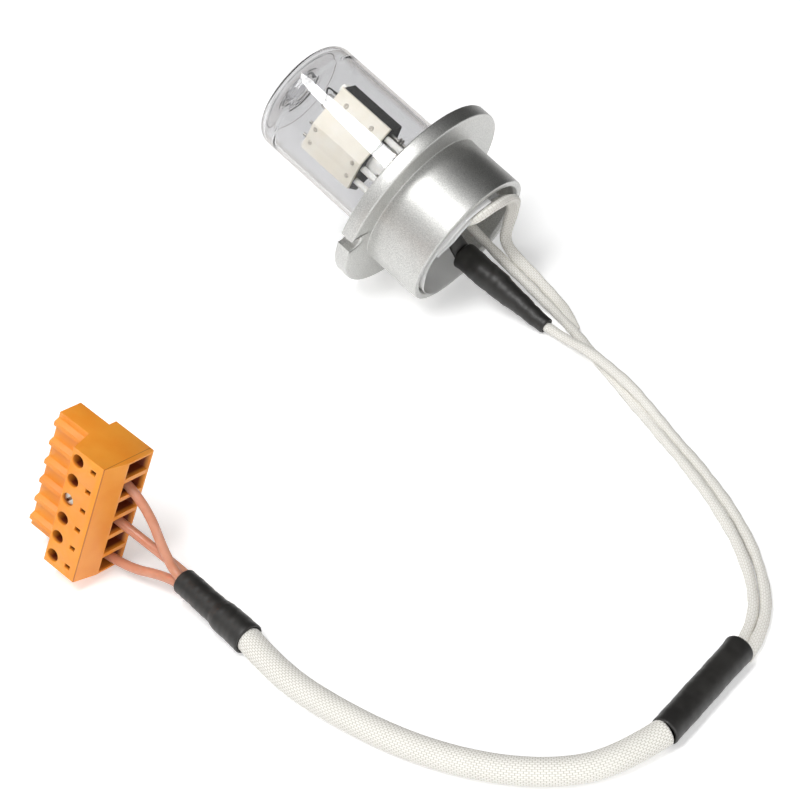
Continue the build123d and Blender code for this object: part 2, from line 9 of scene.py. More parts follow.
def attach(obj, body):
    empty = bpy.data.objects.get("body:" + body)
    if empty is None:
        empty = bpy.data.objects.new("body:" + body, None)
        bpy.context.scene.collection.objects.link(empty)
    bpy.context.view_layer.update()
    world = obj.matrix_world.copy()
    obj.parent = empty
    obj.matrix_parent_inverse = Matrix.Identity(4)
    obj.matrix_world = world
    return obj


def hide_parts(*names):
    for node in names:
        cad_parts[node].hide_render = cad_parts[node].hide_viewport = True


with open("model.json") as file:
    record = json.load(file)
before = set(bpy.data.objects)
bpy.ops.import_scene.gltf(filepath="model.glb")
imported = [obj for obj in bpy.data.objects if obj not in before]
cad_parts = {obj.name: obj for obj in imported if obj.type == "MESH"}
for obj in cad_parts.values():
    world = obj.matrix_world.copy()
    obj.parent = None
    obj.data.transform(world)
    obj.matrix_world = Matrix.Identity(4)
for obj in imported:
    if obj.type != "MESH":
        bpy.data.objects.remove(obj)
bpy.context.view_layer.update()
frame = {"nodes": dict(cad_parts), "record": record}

MM = 0.001
TAU = 2 * math.pi

# Turned sizes of the lamp in mm, as in the solid model; heights are over the flange's seating face
FLANGE_R, FLANGE_THICK = 26.0, 3.8
CUP_R, CUP_BORE_R, CUP_END = 18.5, 16.5, -19.6
SEAT_R, SEAT_END = 15.5, -6.4
NOTCH_HALF, NOTCH_DEPTH = 1.6, 3.6
BULB_R, BULB_WALL, BULB_TOP, BULB_END = 15.0, 1.1, 38.9, -8.8

# Lamp frame: z runs along the bulb and y is up across it. The lamp leans on the rims of flange and cup.
LEAN = math.atan2(FLANGE_R - CUP_R, -CUP_END - FLANGE_THICK)
LAMP_ORIGIN = np.array([7.274, 0.0, 24.925])
LAMP_AXES = np.array([
    [0, -1, 0],
    [math.sin(LEAN), 0, math.cos(LEAN)],
    [-math.cos(LEAN), 0, math.sin(LEAN)],
])
# Housing frame: the lamp frame turned about z, with x towards the light exit
EMISSION = math.radians(211.9)
HOUSING_AXES = np.array([
    [math.cos(EMISSION), math.sin(EMISSION), 0],
    [-math.sin(EMISSION), math.cos(EMISSION), 0],
    [0, 0, 1],
]) @ LAMP_AXES

# Plug frame: x from the mating nose to the wire side, y from the underside to the screw face, z along the row
PLUG_ORIGIN = np.array([14.2, -111.0, 33.31])
PLUG_X = np.array([0.9678, 0.012525, -0.251409])
PLUG_Z = np.array([-0.239449, -0.262231, -0.934826])
PLUG_AXES = np.array([PLUG_X, np.cross(PLUG_Z, PLUG_X), PLUG_Z])
POLES, PITCH = 6, 5.08
NOSE_STEP_X, SEAM_X, WIRE_SIDE_X, SCREW_FACE_Y = 9.7, 18.3, 19.45, 13.9
SLOPE_FROM_Y, SLOPE = 8.0, 0.186
SCREW_X = 11.6

# Half widths of the thin sleeves, the thick braid and the single leads, in mm
THIN_R, THICK_R, LEAD_R = 1.2, 2.75, 1.05

# Routes of the leads, in metres, the same points as the solid model's; sleeve B is drawn closer to sleeve A
SLEEVE_A = [
    (0.0491, -0.0012, 0.0020), (0.0562, -0.0027, 0.00205), (0.0642, -0.0049, 0.00355),
    (0.0732, -0.0079, 0.0040), (0.0832, -0.0116, 0.0037), (0.0947, -0.0164, 0.00145),
    (0.1111, -0.0244, 0.00125), (0.1273, -0.0348, 0.00125), (0.1387, -0.0456, 0.00125),
    (0.1453, -0.0560, 0.00125), (0.1469, -0.0654, 0.00125),
]
SLEEVE_B = [
    (0.01356, 0.0087, 0.01718), (0.0260, 0.0066, 0.0116), (0.0432, 0.0070, 0.00125),
    (0.0557, 0.0017, 0.00125), (0.0691, -0.0056, 0.00125), (0.0896, -0.0162, 0.00125),
    (0.1096, -0.0264, 0.00125), (0.1256, -0.0368, 0.00125), (0.1370, -0.0475, 0.00125),
    (0.1431, -0.0572, 0.00125), (0.1444, -0.0654, 0.00125),
]
BRAID = [
    (0.14634, -0.09258, 0.00315), (0.1436, -0.1036, 0.0028), (0.1361, -0.1130, 0.0028),
    (0.1239, -0.1202, 0.0028), (0.1083, -0.1246, 0.0028), (0.0903, -0.1258, 0.0028),
    (0.0763, -0.1246, 0.0028), (0.0667, -0.1220, 0.0035),
]
# Third thin sleeve: folded round inside the cup's mouth, then down beside sleeve B, under which it ends
FOLDED_SLEEVE = [
    (0.0182, -0.0020, 0.0264), (0.0250, -0.0036, 0.0256), (0.0306, -0.0050, 0.0270),
    (0.0330, -0.0022, 0.0292), (0.0327, 0.0036, 0.0288), (0.0312, 0.0094, 0.0262),
    (0.0292, 0.0126, 0.0212), (0.0284, 0.0112, 0.0166), (0.0286, 0.0092, 0.0132),
    (0.0318, 0.0090, 0.0098), (0.0378, 0.0094, 0.0060), (0.0440, 0.0094, 0.0016),
    (0.0492, 0.0068, 0.00125), (0.0550, 0.0034, 0.00125),
]
# Single leads, from the boot into the plug's funnels
LEADS = {
    "lead_1": [(0.04606, -0.11999, 0.00709), (0.04261, -0.11954, 0.00748), (0.03394, -0.11668, 0.02170),
               (0.02329, -0.11682, 0.02446)],
    "lead_2": [(0.04620, -0.11789, 0.00588), (0.04275, -0.11744, 0.00627), (0.03150, -0.11934, 0.01220),
               (0.02086, -0.11948, 0.01496)],
    "lead_3": [(0.04579, -0.11995, 0.00467), (0.04234, -0.11950, 0.00506), (0.02907, -0.12201, 0.00270),
               (0.01843, -0.12215, 0.00547)],
}


def linear(code, alpha=1.0):
    """The sRGB colour written as six hex digits, as linear light."""
    parts = [int(code[i:i + 2], 16) / 255 for i in (1, 3, 5)]
    return [c / 12.92 if c <= 0.04045 else ((c + 0.055) / 1.055) ** 2.4 for c in parts] + [alpha]


def add(tree, kind, settings=None, links=None):
    """One node; settings are its own properties or its sockets' values, links are its inputs' sources."""
    node = tree.nodes.new(kind)
    for key, value in (settings or {}).items():
        if hasattr(node, str(key)):
            setattr(node, key, value)
        else:
            node.inputs[key].default_value = value
    for key, source in (links or {}).items():
        tree.links.new(source, node.inputs[key])
    return node


def material(name, settings):
    """A material with one Principled shader, whose own sockets take the constant values."""
    made = bpy.data.materials.new(name)
    made.use_nodes = True
    tree = made.node_tree
    shader = tree.nodes["Principled BSDF"]
    for key, value in settings.items():
        shader.inputs[key].default_value = value
    return made, tree, shader


def placed(name, data):
    """A new object in the scene, at the origin."""
    obj = bpy.data.objects.new(name, data)
    bpy.context.scene.collection.objects.link(obj)
    return obj


def mesh_object(name, points, faces, uvs=None):
    """Mesh from arrays of points (n, 3) in millimetres and faces as lists of corner numbers."""
    mesh = bpy.data.meshes.new(name)
    mesh.from_pydata((np.asarray(points) * MM).tolist(), [], [list(f) for f in faces])
    if uvs is not None:
        corners = np.empty(len(mesh.loops), dtype=np.int64)
        mesh.loops.foreach_get("vertex_index", corners)
        layer = mesh.uv_layers.new(name="along")
        layer.data.foreach_set("uv", np.asarray(uvs)[corners].astype(np.float32).ravel())
    mesh.validate()
    mesh.update()
    mesh.polygons.foreach_set("use_smooth", [True] * len(mesh.polygons))
    return placed(name, mesh)


def cells(rows, columns, close_rows=False, close_columns=True):
    """The four corner numbers of each cell of a grid whose points are numbered row by row."""
    i = np.arange(rows if close_rows else rows - 1)
    j = np.arange(columns if close_columns else columns - 1)
    a, b = np.meshgrid(i, j, indexing="ij")
    a2, b2 = (a + 1) % rows, (b + 1) % columns
    corners = [a * columns + b, a * columns + b2, a2 * columns + b2, a2 * columns + b]
    return np.stack(corners, axis=-1).reshape(-1, 4)


def end_faces(rows, columns):
    """The first and the last row of a grid as one face each."""
    return [np.arange(columns)[::-1], np.arange(columns) + (rows - 1) * columns]


def grid(name, points, close_rows=False, close_columns=True, caps=False, uv=None):
    """Surface over a grid of points (rows, columns, 3): each cell of four neighbours is one face.

    Columns run round the surface and rows along it; caps closes the first and last row with one face each.
    """
    rows, columns, _ = points.shape
    faces = cells(rows, columns, close_rows, close_columns).tolist()
    if caps:
        faces += [face.tolist() for face in end_faces(rows, columns)]
    flat_uv = None if uv is None else uv.reshape(-1, 2)
    return mesh_object(name, points.reshape(-1, 3), faces, flat_uv)


def outward(obj):
    """Merge doubles and point every face outwards."""
    work = bmesh.new()
    work.from_mesh(obj.data)
    bmesh.ops.remove_doubles(work, verts=work.verts, dist=1e-6)
    bmesh.ops.recalc_face_normals(work, faces=work.faces)
    work.to_mesh(obj.data)
    work.free()
    return obj


def rounded(profile, radii, steps=6):
    """Polyline of (r, z) points with rounded corners: each is a quadratic curve between its two cut-backs."""
    points = np.asarray(profile, dtype=float)
    out = [points[0]]
    for before, corner, after, radius in zip(points[:-2], points[1:-1], points[2:], radii):
        to_before = before - corner
        to_after = after - corner
        cut_a = min(radius, 0.49 * np.linalg.norm(to_before))
        cut_b = min(radius, 0.49 * np.linalg.norm(to_after))
        start = corner + to_before / np.linalg.norm(to_before) * cut_a
        end = corner + to_after / np.linalg.norm(to_after) * cut_b
        t = np.linspace(0, 1, steps)[:, None]
        out.extend((1 - t) ** 2 * start + 2 * t * (1 - t) * corner + t**2 * end)
    out.append(points[-1])
    return np.array(out)


def line_through(points):
    """The line of the cord with the given control points, as its NURBS spline lays it, in millimetres."""
    curve = bpy.data.curves.new("line", "CURVE")
    curve.dimensions = "3D"
    spline = curve.splines.new("NURBS")
    spline.points.add(len(points) - 1)
    spline.points.foreach_set("co", [c for p in points for c in (*p, 1.0)])
    spline.order_u = 3
    spline.use_endpoint_u = True
    spline.resolution_u = 24
    holder = placed("line", curve)
    bpy.context.view_layer.update()
    mesh = bpy.data.meshes.new_from_object(holder)
    flat = np.empty(len(mesh.vertices) * 3)
    mesh.vertices.foreach_get("co", flat)
    bpy.data.objects.remove(holder)
    return flat.reshape(-1, 3) / MM


def resampled(path, step):
    """The same line with points at equal distances, and those distances along it."""
    along = np.concatenate([[0], np.cumsum(np.linalg.norm(np.diff(path, axis=0), axis=1))])
    count = max(3, int(round(along[-1] / step)) + 1)
    wanted = np.linspace(0, along[-1], count)
    return np.stack([np.interp(wanted, along, path[:, k]) for k in range(3)], axis=1), wanted


def carried_frames(path):
    """Side and up at each point; the side is carried along so that it never twists about the line."""
    tangent = np.gradient(path, axis=0)
    tangent /= np.linalg.norm(tangent, axis=1)[:, None]
    side = np.empty_like(tangent)
    held = np.cross(tangent[0], [0.0, 0.0, 1.0])
    for row, along in enumerate(tangent):
        held = held - held.dot(along) * along
        held /= np.linalg.norm(held)
        side[row] = held
    return side, np.cross(side, tangent)


def tube(name, path, radius, columns=24, wall=0.0):
    """Tube round a line: centre + radius (cos v side + sin v up); radius may vary over rows and columns.

    With a wall the tube is open: the same rows come back at the radius less the wall.
    """
    side, up = carried_frames(path)
    v = np.linspace(0, TAU, columns, endpoint=False)
    r = np.broadcast_to(radius, (len(path), columns))
    ring = np.cos(v)[None, :, None] * side[:, None] + np.sin(v)[None, :, None] * up[:, None]
    points = path[:, None] + r[:, :, None] * ring
    along = np.concatenate([[0], np.cumsum(np.linalg.norm(np.diff(path, axis=0), axis=1))])
    uv = np.stack(np.broadcast_arrays(along[:, None], (v / TAU)[None]), axis=-1)
    if wall:
        points = np.concatenate([points, (path[:, None] + (r - wall)[:, :, None] * ring)[::-1]])
        uv = np.concatenate([uv, uv[::-1]])
    return outward(grid(name, points, close_rows=bool(wall), caps=not wall, uv=uv))


def shrunk_tube(name, start, end, along, widths, ripple, seed):
    """Shrink tube on a straight line: its width follows `widths` at the shares `along`, plus soft ripples.

    The ripples are four sines of the way along and round it, each with its own phase; its two lips turn in.
    """
    share = np.linspace(0, 1, 90)
    path = np.asarray(start) + share[:, None] * (np.asarray(end) - np.asarray(start))
    v = np.linspace(0, TAU, 40, endpoint=False)[None]
    phase = np.random.default_rng(seed).uniform(0, TAU, 4)
    s = share[:, None] * TAU
    soft = (np.sin(3.3 * s + v + phase[0]) + 0.7 * np.sin(7.1 * s - 2 * v + phase[1])
            + 0.5 * np.sin(12.7 * s + v + phase[2]) + 0.6 * np.sin(2 * v + 1.7 * s + phase[3]))
    lip = 1 - 0.05 * np.exp(-((1 - np.abs(2 * share - 1)) / 0.012) ** 2)
    radius = (np.interp(share, along, widths) / 2 * lip)[:, None] + ripple * soft
    return tube(name, path, radius, 40, wall=0.45)


def bevelled_copy(node, name, width):
    """A copy of a solid's mesh, merged and cleaned to its plain faces, whose edges are then rounded."""
    mesh = frame["nodes"][node].data.copy()
    obj = placed(name, mesh)
    work = bmesh.new()
    work.from_mesh(mesh)
    bmesh.ops.remove_doubles(work, verts=work.verts, dist=1e-6)
    bmesh.ops.dissolve_limit(work, angle_limit=0.002, verts=work.verts, edges=work.edges)
    bmesh.ops.recalc_face_normals(work, faces=work.faces)
    work.to_mesh(mesh)
    work.free()
    bevel = obj.modifiers.new("rounded_edges", "BEVEL")
    bevel.width = width * MM
    bevel.segments = 2
    bevel.limit_method = "ANGLE"
    bevel.angle_limit = math.radians(35)
    bevel.harden_normals = True
    mesh.polygons.foreach_set("use_smooth", [True] * len(mesh.polygons))
    return obj


def joined(name, parts):
    """Several grids of points (rows, columns, 3), each closed at both ends, as one mesh."""
    points, faces, first = [], [], 0
    for part in parts:
        rows, columns, _ = part.shape
        faces += (cells(rows, columns) + first).tolist()
        faces += [(face + first).tolist() for face in end_faces(rows, columns)]
        points.append(part.reshape(-1, 3))
        first += rows * columns
    return outward(mesh_object(name, np.concatenate(points), faces))


def turned_rows(profile, columns, origin, axes):
    """Grid of points of a small turned part: x = r cos a, y = r sin a, z, carried by its own axes."""
    angle = np.linspace(0, TAU, columns, endpoint=False)
    r, z = (np.asarray(values)[:, None] for values in zip(*profile))
    local = np.stack([r * np.cos(angle), r * np.sin(angle), np.repeat(z, columns, 1)], axis=-1)
    return local @ np.asarray(axes) + np.asarray(origin)


def dress(obj, made):
    """Give a piece its one material."""
    obj.data.materials.clear()
    obj.data.materials.append(made)
    return obj


def keep(obj, made, slot, *nodes):
    """A new piece: its material, its body, and the solids it stands for; the record slot is not used."""
    dress(obj, made)
    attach(obj, "root")
    if nodes:
        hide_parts(*nodes)
    return obj


def toned(tree, factor, stops):
    """A colour ramp of (place, hex colour) stops read at a factor."""
    ramp = add(tree, "ShaderNodeValToRGB", links={"Fac": factor})
    bar = ramp.color_ramp.elements
    for place, _ in stops[2:]:
        bar.new(place)
    for stop, (place, code) in zip(bar, sorted(stops)):
        stop.position = place
        stop.color = linear(code)
    return ramp.outputs["Color"]


def noise(tree, scale, detail):
    """Noise in the object's own space; its scale is about one over the size of its grains in metres."""
    place = add(tree, "ShaderNodeTexCoord").outputs["Object"]
    grains = add(tree, "ShaderNodeTexNoise", {"Scale": scale, "Detail": detail}, {"Vector": place})
    return grains.outputs["Fac"]


def maths(tree, operation, *values):
    """One maths node; each value is a number or another node's output."""
    node = add(tree, "ShaderNodeMath", {"operation": operation})
    for socket, value in zip(node.inputs, values):
        if isinstance(value, (int, float)):
            socket.default_value = value
        else:
            tree.links.new(value, socket)
    return node.outputs[0]


def raised(tree, shader, height, strength, distance):
    """Bump from a height; distance is how far its top stands out, in metres."""
    bump = add(tree, "ShaderNodeBump", {"Strength": strength, "Distance": distance}, {"Height": height})
    tree.links.new(bump.outputs["Normal"], shader.inputs["Normal"])


def spread(tree, factor, low, high, begin=0.0, end=1.0):
    """A factor between begin and end as a value between low and high."""
    limits = {"From Min": begin, "From Max": end, "To Min": low, "To Max": high}
    return add(tree, "ShaderNodeMapRange", limits, {"Value": factor}).outputs["Result"]


def seen_by(tree, *kinds):
    """One for rays of the given kinds, zero for all others."""
    rays = add(tree, "ShaderNodeLightPath")
    seen = rays.outputs[f"Is {kinds[0]} Ray"]
    for kind in kinds[1:]:
        seen = maths(tree, "MAXIMUM", seen, rays.outputs[f"Is {kind} Ray"])
    return seen


# Anodised aluminium, bead blasted before anodising: satin, silver grey, with a fine sparkle of blasting pits
def anodised_aluminium():
    made, tree, shader = material("bead_blasted_anodised_aluminium", {"Metallic": 1.0})
    cloud = noise(tree, 70.0, 4.0)
    # Blasting pits are about 0.15 mm wide; they are drawn twice as coarse so that they show
    grain = noise(tree, 4200.0, 2.0)
    tree.links.new(toned(tree, grain, [(0.3, "#B7B7B5"), (0.7, "#DEDEDB")]), shader.inputs["Base Color"])
    tree.links.new(spread(tree, cloud, 0.41, 0.49), shader.inputs["Roughness"])
    raised(tree, shader, grain, 0.45, 0.00003)
    return made


# Drawn and flame-worked bulb glass: clear, slightly wavy, and smoky brown where the eye looks along its wall
def bulb_glass(name, clear, middle, edge, roughness):
    made, tree, shader = material(name, {"Transmission Weight": 1.0, "IOR": 1.47, "Roughness": roughness})
    facing = add(tree, "ShaderNodeLayerWeight", {"Blend": 0.5}).outputs["Facing"]
    smoke = toned(tree, facing, [(0.58, clear), (0.82, middle), (0.95, edge)])
    tree.links.new(smoke, shader.inputs["Base Color"])
    raised(tree, shader, noise(tree, 110.0, 1.0), 0.05, 0.0004)
    # Lamps shine through the wall on what is behind it
    through = add(tree, "ShaderNodeBsdfTransparent", {"Color": linear("#F2F2F2")}).outputs[0]
    lit = seen_by(tree, "Shadow")
    either = add(tree, "ShaderNodeMixShader", links={0: lit, 1: shader.outputs[0], 2: through})
    tree.links.new(either.outputs[0], tree.nodes["Material Output"].inputs["Surface"])
    return made


# Unglazed fired ceramic: matt, pale, fine grained, with a little soft light inside
def ceramic(name, pale, dark):
    made, tree, shader = material(name, {"Roughness": 0.7, "IOR": 1.5, "Subsurface Weight": 0.1,
                                         "Subsurface Radius": (0.5, 0.4, 0.3), "Subsurface Scale": 0.0006})
    cloud = noise(tree, 160.0, 3.0)
    tree.links.new(toned(tree, cloud, [(0.35, dark), (0.65, pale)]), shader.inputs["Base Color"])
    raised(tree, shader, noise(tree, 1400.0, 4.0), 0.15, 0.00006)
    return made


# Rolled sheet or drawn wire of nickel or zinc-plated steel: a soft uneven sheen
def rolled_metal(name, pale, dark, metallic, roughness, scale=500.0):
    made, tree, shader = material(name, {"Metallic": metallic})
    cloud = noise(tree, scale, 4.0)
    tree.links.new(toned(tree, cloud, [(0.3, dark), (0.7, pale)]), shader.inputs["Base Color"])
    tree.links.new(spread(tree, cloud, roughness - 0.06, roughness + 0.08), shader.inputs["Roughness"])
    raised(tree, shader, cloud, 0.1, 0.00003)
    return made


# Braided glass-fibre sleeve: flat yarn floats 1 mm long in staggered rows round the sleeve, off-white and dry
def glass_fibre_braid(name, rows, pale, dark):
    made, tree, shader = material(name, {"Roughness": 0.7, "Sheen Weight": 0.15, "Sheen Roughness": 0.4})
    uv = add(tree, "ShaderNodeUVMap", {"uv_map": "along"}).outputs["UV"]
    laid = add(tree, "ShaderNodeMapping", {"Scale": (1.0, float(rows), 1.0)}, {"Vector": uv})
    yarn = {"Scale": 1.0, "Brick Width": 1.0, "Row Height": 1.0, "Mortar Size": 0.16, "Mortar Smooth": 1.0}
    floats = add(tree, "ShaderNodeTexBrick", yarn, {"Vector": laid.outputs["Vector"]})
    gap = floats.outputs["Fac"]
    wear = noise(tree, 220.0, 3.0)
    both = maths(tree, "ADD", gap, maths(tree, "MULTIPLY_ADD", wear, 0.35, -0.17))
    tree.links.new(toned(tree, both, [(0.1, pale), (0.9, dark)]), shader.inputs["Base Color"])
    raised(tree, shader, spread(tree, gap, 1.0, 0.0), 0.5, 0.00012)
    return made


# Heat-shrink tube of black cross-linked plastic: satin, a little dusty, with soft ripples where it drew down
def heat_shrink():
    made, tree, shader = material("black_heat_shrink_tube", {"IOR": 1.5})
    ripple = noise(tree, 260.0, 3.0)
    tree.links.new(toned(tree, ripple, [(0.3, "#1F1E1D"), (0.75, "#2C2B29")]), shader.inputs["Base Color"])
    tree.links.new(spread(tree, ripple, 0.36, 0.52), shader.inputs["Roughness"])
    raised(tree, shader, ripple, 0.18, 0.0002)
    return made


# Extruded silicone insulation: salmon, waxy and a little translucent, with a soft gloss
def lead_insulation():
    made, tree, shader = material("salmon_silicone_insulation", {
        "Roughness": 0.3, "Subsurface Weight": 0.35, "Subsurface Radius": (1.0, 0.5, 0.3),
        "Subsurface Scale": 0.001, "IOR": 1.43})
    tree.links.new(toned(tree, noise(tree, 300.0, 2.0), [(0.3, "#CC8A6C"), (0.7, "#D89C82")]),
                   shader.inputs["Base Color"])
    raised(tree, shader, noise(tree, 500.0, 2.0), 0.08, 0.0001)
    return made


# Injection-moulded polyamide: orange, satin from the spark-eroded mould, parting line near its wire side, and
# painted shade deep in its openings
def moulded_polyamide():
    made, tree, shader = material("moulded_orange_polyamide", {
        "Roughness": 0.42, "IOR": 1.53, "Subsurface Weight": 0.1, "Subsurface Radius": (1.0, 0.35, 0.08),
        "Subsurface Scale": 0.001})
    place = add(tree, "ShaderNodeTexCoord").outputs["Object"]
    own = []
    for axis in PLUG_AXES:
        dot = add(tree, "ShaderNodeVectorMath", {"operation": "DOT_PRODUCT", 1: tuple(axis / MM)}, {0: place})
        own.append(maths(tree, "SUBTRACT", dot.outputs["Value"], float(axis @ PLUG_ORIGIN)))
    x, y, z = own
    # Distance below the nearest outer face, in mm: the openings' walls are darkened by it, as painted shade
    over = maths(tree, "MAXIMUM", maths(tree, "SUBTRACT", y, SLOPE_FROM_Y), 0.0)
    wire_side = maths(tree, "SUBTRACT", WIRE_SIDE_X, maths(tree, "MULTIPLY", over, SLOPE))
    deep = maths(tree, "SUBTRACT", wire_side, x)
    for face in (maths(tree, "SUBTRACT", SCREW_FACE_Y, y), y, maths(tree, "SUBTRACT", x, NOSE_STEP_X), z,
                 maths(tree, "SUBTRACT", POLES * PITCH, z)):
        deep = maths(tree, "MINIMUM", deep, face)
    # Painted shade: dark brown from 0.15 mm below the outer faces, full at 1.1 mm
    dark = spread(tree, deep, 0.0, 1.0, 0.15, 1.1)
    near = maths(tree, "COMPARE", x, SEAM_X, 0.09)
    seam = maths(tree, "MULTIPLY", near, maths(tree, "LESS_THAN", deep, 0.3))
    base = toned(tree, noise(tree, 140.0, 3.0), [(0.3, "#F0922A"), (0.7, "#F6A038")])
    for factor, code in ((dark, "#6A2606"), (seam, "#C2722A")):
        mixed = add(tree, "ShaderNodeMix", {"data_type": "RGBA", 7: linear(code)}, {0: factor, 6: base})
        base = mixed.outputs[2]
    tree.links.new(base, shader.inputs["Base Color"])
    raised(tree, shader, noise(tree, 2200.0, 2.0), 0.12, 0.00005)
    return made


ALUMINIUM = anodised_aluminium()
BULB = bulb_glass("flame_worked_bulb_glass", "#E0E0E1", "#A1968C", "#463C34", 0.0)
STEM = bulb_glass("pressed_stem_glass", "#E6E8E5", "#C0BBB3", "#8C857B", 0.15)
FILM = bulb_glass("clear_polyester_film", "#FFFFFF", "#F6F5F2", "#E2E0DA", 0.2)
# The film is left only partly clear and mostly white: painted light, standing in for its glints and the light
# bounced into the mouth
FILM.node_tree.nodes["Principled BSDF"].inputs["Transmission Weight"].default_value = 0.35
WHITE_CERAMIC = ceramic("white_fired_ceramic", "#FAF9F5", "#F1EFE8")
CREAM_CERAMIC = ceramic("cream_fired_ceramic", "#FAF5E9", "#F3ECDC")
CEMENT = ceramic("cast_ceramic_cement", "#DDD9CC", "#C6C1B2")
DARK_SHEET = rolled_metal("blackened_nickel_sheet", "#1B1816", "#110F0E", 0.15, 0.65)
NICKEL_WIRE = rolled_metal("drawn_nickel_wire", "#B9B6B0", "#8E8B86", 1.0, 0.3, 900.0)
RIVET_HEADS = rolled_metal("dull_nickel_rivets", "#D9D2C5", "#B7B0A4", 0.3, 0.5, 1500.0)
# Dark brown zinc for the low clamp screws: painted shade of their deep openings
ZINC_IN_PAINTED_SHADE = rolled_metal("zinc_plated_steel_painted_shade", "#7C6248", "#5A4634", 0.8, 0.45, 700.0)
ZINC = rolled_metal("zinc_plated_steel", "#D2D1CA", "#AEADA6", 1.0, 0.32, 700.0)
OXIDE_COAT = ceramic("oxide_coated_tungsten", "#E9E6DF", "#CFCBC2")
THIN_BRAID = glass_fibre_braid("thin_glass_fibre_braid", 16, "#F3F1EB", "#D6D2C8")
THICK_BRAID = glass_fibre_braid("thick_glass_fibre_braid", 38, "#F2F0EA", "#C4C0B5")
SHRINK = heat_shrink()
LEAD = lead_insulation()
POLYAMIDE = moulded_polyamide()

by_slot = {
    "aluminium": ALUMINIUM, "bulb_glass": BULB, "stem_glass": STEM, "cement": CEMENT,
    "ceramic": WHITE_CERAMIC, "cream_ceramic": CREAM_CERAMIC, "dark_metal": DARK_SHEET,
    "coated_coil": OXIDE_COAT, "wire": NICKEL_WIRE, "clear_film": FILM, "shrink": SHRINK,
    "glass_braid": THIN_BRAID, "lead": LEAD, "orange_plastic": POLYAMIDE, "zinc_steel": ZINC,
}
slot_of = {part["node"]: part["material_slot"] for part in frame["record"]["subparts"]}
for node_name, node_object in frame["nodes"].items():
    dress(node_object, by_slot[slot_of[node_name]])
# The five screws left low in their openings get the dark brown zinc, as painted shade
low_screws = [frame["nodes"][f"clamp_screw_{number}"] for number in (1, 2, 4, 5, 6)]
for screw in low_screws:
    dress(screw, ZINC_IN_PAINTED_SHADE)


# Base: flange and cup turned from one piece, with the key notch let into the rim
WEB_R = FLANGE_R - 5
RIM_ROUNDING = [(1.2, 0.0), (0.4, 0.0), (0.28, 0.03), (0.12, 0.12), (0.03, 0.28), (0.0, 0.4)]


def flange_outline():
    """The rim's circle with the key notch let in: straight walls, and a half circle as its floor."""
    first = math.asin(NOTCH_HALF / FLANGE_R)
    turn = np.linspace(first, TAU - first, 300)
    rim = np.column_stack([FLANGE_R * np.cos(turn), FLANGE_R * np.sin(turn)])
    centre = FLANGE_R - NOTCH_DEPTH + NOTCH_HALF
    arc = np.linspace(-math.pi / 2, -3 * math.pi / 2, 17)[1:]
    notch = np.column_stack([centre + NOTCH_HALF * np.cos(arc), NOTCH_HALF * np.sin(arc)])
    share = np.linspace(0, 1, 5)[1:, None]
    wall_in = rim[-1] + (np.array([centre, -NOTCH_HALF]) - rim[-1]) * share
    wall_out = notch[-1] + (rim[0] - notch[-1]) * share[:-1]
    return np.concatenate([rim, wall_in, notch, wall_out])


def turned_base():
    """Flange and cup as one closed turning: rows are the rim's outline set in, or circles like it."""
    outline = flange_outline()
    step = np.roll(outline, -1, axis=0) - np.roll(outline, 1, axis=0)
    normal = np.column_stack([step[:, 1], -step[:, 0]])
    normal /= np.linalg.norm(normal, axis=1)[:, None]
    # The circles' points keep to the outline's angles, but never run back as the notch's walls do
    turn = np.maximum.accumulate(np.unwrap(np.arctan2(outline[:, 1], outline[:, 0])))
    circle = np.column_stack([np.cos(turn), np.sin(turn)])

    def level(points, z):
        """The points (x, y), all at one height."""
        return np.column_stack([points, np.full(len(points), z)])

    seat = [(SEAT_R, SEAT_END), (SEAT_R, -0.25), (SEAT_R + 0.25, 0.0), (SEAT_R + 1, 0.0), (WEB_R, 0.0)]
    rim = [(inset, -drop) for inset, drop in RIM_ROUNDING]
    rim += [(inset, drop - FLANGE_THICK) for inset, drop in reversed(RIM_ROUNDING)]
    cup = rounded(
        [(WEB_R, -FLANGE_THICK), (CUP_R, -FLANGE_THICK), (CUP_R, CUP_END), (CUP_BORE_R + 0.45, CUP_END),
         (CUP_BORE_R, CUP_END + 0.9), (CUP_BORE_R, SEAT_END), (SEAT_R, SEAT_END)],
        [0.25, 0.4, 0.15, 0.3, 0.2],
    )
    rows = [level(circle * r, z) for r, z in seat]
    rows += [level(outline - normal * inset, z) for inset, z in rim]
    rows += [level(circle * r, z) for r, z in cup[1:-1]]
    base = outward(grid("turned_base", np.stack(rows) @ LAMP_AXES + LAMP_ORIGIN, close_rows=True))
    base.data.set_sharp_from_angle(angle=math.radians(35))
    return base


keep(turned_base(), ALUMINIUM, "aluminium", "base")

# Bulb: outer and inner wall in one closed turning; the melted tip and its rings stand inside the dome
DOME_RISE = 0.9
CROWN_R = (BULB_R**2 + DOME_RISE**2) / (2 * DOME_RISE)
SHOULDER_R, SHOULDER_Z, SHOULDER_RISE = 11.8, 34.95, 3.4


def bulb_wall(inset, wall_top, wall_rows):
    """Profile (r, z) of the bulb: a flat sphere cap, a quarter ellipse as shoulder, and a straight wall."""
    wall_r = BULB_R - inset
    cap_r = np.linspace(0.02, SHOULDER_R, 60)
    cap = np.column_stack([cap_r, BULB_TOP - inset - (CROWN_R - np.sqrt(CROWN_R**2 - cap_r**2))])
    turn = np.linspace(math.pi / 2, 0, 14)
    shoulder = np.column_stack([SHOULDER_R + (wall_r - SHOULDER_R) * np.cos(turn),
                                SHOULDER_Z + (SHOULDER_RISE - inset) * np.sin(turn)])
    wall = np.column_stack([np.full(wall_rows, wall_r), np.linspace(wall_top, BULB_END, wall_rows)])
    return cap, shoulder, wall


